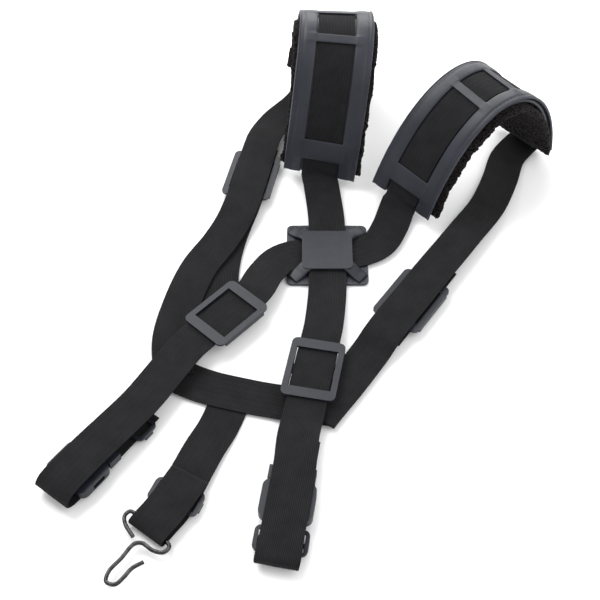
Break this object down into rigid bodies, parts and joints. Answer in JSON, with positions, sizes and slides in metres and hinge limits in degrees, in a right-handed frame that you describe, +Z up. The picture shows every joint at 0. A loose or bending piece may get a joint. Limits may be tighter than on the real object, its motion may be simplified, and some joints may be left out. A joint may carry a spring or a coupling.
{
  "type": "saxophone harness",
  "caption": "Two-shoulder saxophone harness with padded arches, a cross plate, webbing adjusters, waist buckles, chest band and a wire hook.",
  "frame": {"origin": "on the table under the middle of the cross plate", "axes": "+Z up from the table, +Y towards the shoulder pads, +X towards the right pad"},
  "size_m": [0.5332, 0.705, 0.1512],
  "materials": {
    "terry": "looped pile",
    "foam": "matte",
    "leather": "soft satin",
    "plastic": "fine moulded",
    "webbing": "ribbed weave",
    "wire": "black nickel"
  },
  "bodies": {
    "harness": {"left_pad_lining": "terry", "left_pad_foam": "foam", "left_pad_cover": "leather", "left_pad_webbing": "webbing", "right_pad_lining": "terry", "right_pad_foam": "foam", "right_pad_cover": "leather", "right_pad_webbing": "webbing", "cross_plate_base": "leather", "cross_plate_cover": "plastic", "left_shoulder_strap": "webbing", "right_shoulder_strap": "webbing", "left_front_strap": "webbing", "left_front_tail": "webbing", "right_front_strap": "webbing", "right_front_tail": "webbing", "chest_band": "webbing", "hook_strap": "webbing", "left_buckle_socket": "plastic", "right_buckle_socket": "plastic", "left_buckle_tab": "webbing", "right_buckle_tab": "webbing"},
    "left_back_slider": {"left_back_slider": "plastic"},
    "right_back_slider": {"right_back_slider": "plastic"},
    "left_front_slider": {"left_front_slider": "plastic"},
    "right_front_slider": {"right_front_slider": "plastic"},
    "hook_strap_slider": {"hook_strap_slider": "plastic"},
    "left_waist_slider": {"left_waist_slider": "plastic"},
    "right_waist_slider": {"right_waist_slider": "plastic"},
    "left_plug": {"left_buckle_plug": "plastic"},
    "right_plug": {"right_buckle_plug": "plastic"},
    "hook": {"wire_hook": "wire"}
  },
  "joints": [
    {"name": "left_back_slide", "type": "slide", "parent": "harness", "child": "left_back_slider", "axis": [-0.6816, -0.7317, 0], "range_m": [0, 0.015]},
    {"name": "right_back_slide", "type": "slide", "parent": "harness", "child": "right_back_slider", "axis": [-0.1903, -0.9817, 0], "range_m": [-0.012, 0.012]},
    {"name": "left_front_slide", "type": "slide", "parent": "harness", "child": "left_front_slider", "axis": [-0.2099, -0.9777, 0], "range_m": [-0.004, 0.012]},
    {"name": "right_front_slide", "type": "slide", "parent": "harness", "child": "right_front_slider", "axis": [-0.571, -0.821, 0], "range_m": [-0.02, 0.02]},
    {"name": "hook_strap_slide", "type": "slide", "parent": "harness", "child": "hook_strap_slider", "axis": [-0.4002, -0.9164, 0], "range_m": [-0.004, 0.004]},
    {"name": "left_waist_slide", "type": "slide", "parent": "harness", "child": "left_waist_slider", "axis": [-0.6, -0.8, 0], "range_m": [-0.007, 0.002]},
    {"name": "right_waist_slide", "type": "slide", "parent": "harness", "child": "right_waist_slider", "axis": [-0.15, -0.9887, 0], "range_m": [-0.002, 0.002]},
    {"name": "left_plug_pull", "type": "slide", "parent": "harness", "child": "left_plug", "axis": [0.6, 0.8, 0], "range_m": [0, 0.02]},
    {"name": "right_plug_pull", "type": "slide", "parent": "harness", "child": "right_plug", "axis": [0.15, 0.9887, 0], "range_m": [0, 0.024]},
    {"name": "hook_swing", "type": "hinge", "parent": "harness", "child": "hook", "pos_m": [-0.1625, -0.3292, 0.0077], "axis": [0.734, -0.6791, 0], "range_deg": [-60, 60]}
  ]
}
